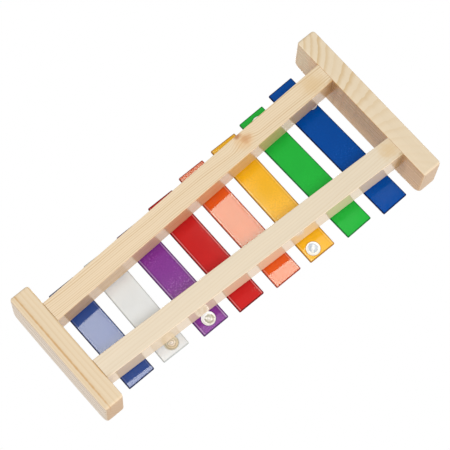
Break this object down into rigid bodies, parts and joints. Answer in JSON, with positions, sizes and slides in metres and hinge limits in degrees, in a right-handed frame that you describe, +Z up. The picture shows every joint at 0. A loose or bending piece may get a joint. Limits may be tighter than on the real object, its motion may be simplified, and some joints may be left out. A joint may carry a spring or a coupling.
{
  "type": "toy xylophone",
  "caption": "Toy xylophone: flat painted metal bars of falling length, held loosely by screws over two converging wooden rails between two end blocks.",
  "frame": {"origin": "under the middle of the instrument, on the surface it stands on", "axes": "+X along the instrument, from the long bars to the short bars; +Y away from the player; +Z up, square to the bars' faces"},
  "size_m": [0.334, 0.154, 0.0418],
  "materials": {
    "pine": "sanded, thin matt varnish",
    "felt": "pressed wool felt",
    "beech": "raw",
    "zinc_steel": "bright zinc plated",
    "collar_rubber": "matt",
    "dark_blue_paint": "gloss enamel",
    "green_paint": "gloss enamel",
    "yellow_paint": "gloss enamel",
    "orange_paint": "gloss enamel",
    "red_paint": "gloss enamel",
    "purple_paint": "gloss enamel",
    "white_paint": "gloss enamel",
    "light_blue_paint": "gloss enamel"
  },
  "bodies": {
    "frame": {"wide_end_block": "pine", "narrow_end_block": "pine", "front_rail": "pine", "rear_rail": "pine", "front_felt_strip": "felt", "rear_felt_strip": "felt", "dowel_wide_front_lower": "beech", "dowel_wide_front_upper": "beech", "dowel_wide_rear_lower": "beech", "dowel_wide_rear_upper": "beech", "dowel_narrow_front_lower": "beech", "dowel_narrow_front_upper": "beech", "dowel_narrow_rear_lower": "beech", "dowel_narrow_rear_upper": "beech", "screw_dark_blue_front": "zinc_steel", "screw_dark_blue_rear": "zinc_steel", "screw_green_front": "zinc_steel", "screw_green_rear": "zinc_steel", "screw_yellow_front": "zinc_steel", "screw_yellow_rear": "zinc_steel", "screw_orange_front": "zinc_steel", "screw_orange_rear": "zinc_steel", "screw_red_front": "zinc_steel", "screw_red_rear": "zinc_steel", "screw_purple_front": "zinc_steel", "screw_purple_rear": "zinc_steel", "screw_white_front": "zinc_steel", "screw_white_rear": "zinc_steel", "screw_light_blue_front": "zinc_steel", "screw_light_blue_rear": "zinc_steel", "collar_dark_blue_front": "collar_rubber", "collar_dark_blue_rear": "collar_rubber", "collar_green_front": "collar_rubber", "collar_green_rear": "collar_rubber", "collar_yellow_front": "collar_rubber", "collar_yellow_rear": "collar_rubber", "collar_orange_front": "collar_rubber", "collar_orange_rear": "collar_rubber", "collar_red_front": "collar_rubber", "collar_red_rear": "collar_rubber", "collar_purple_front": "collar_rubber", "collar_purple_rear": "collar_rubber", "collar_white_front": "collar_rubber", "collar_white_rear": "collar_rubber", "collar_light_blue_front": "collar_rubber", "collar_light_blue_rear": "collar_rubber"},
    "bar_dark_blue": {"bar_dark_blue": "dark_blue_paint"},
    "bar_green": {"bar_green": "green_paint"},
    "bar_yellow": {"bar_yellow": "yellow_paint"},
    "bar_orange": {"bar_orange": "orange_paint"},
    "bar_red": {"bar_red": "red_paint"},
    "bar_purple": {"bar_purple": "purple_paint"},
    "bar_white": {"bar_white": "white_paint"},
    "bar_light_blue": {"bar_light_blue": "light_blue_paint"}
  },
  "joints": [
    {"name": "lift_dark_blue", "type": "slide", "parent": "frame", "child": "bar_dark_blue", "axis": [0, 0, 1], "range_m": [0, 0.0006]},
    {"name": "lift_green", "type": "slide", "parent": "frame", "child": "bar_green", "axis": [0, 0, 1], "range_m": [0, 0.0006]},
    {"name": "lift_yellow", "type": "slide", "parent": "frame", "child": "bar_yellow", "axis": [0, 0, 1], "range_m": [0, 0.0006]},
    {"name": "lift_orange", "type": "slide", "parent": "frame", "child": "bar_orange", "axis": [0, 0, 1], "range_m": [0, 0.0006]},
    {"name": "lift_red", "type": "slide", "parent": "frame", "child": "bar_red", "axis": [0, 0, 1], "range_m": [0, 0.0006]},
    {"name": "lift_purple", "type": "slide", "parent": "frame", "child": "bar_purple", "axis": [0, 0, 1], "range_m": [0, 0.0006]},
    {"name": "lift_white", "type": "slide", "parent": "frame", "child": "bar_white", "axis": [0, 0, 1], "range_m": [0, 0.0006]},
    {"name": "lift_light_blue", "type": "slide", "parent": "frame", "child": "bar_light_blue", "axis": [0, 0, 1], "range_m": [0, 0.0006]}
  ]
}
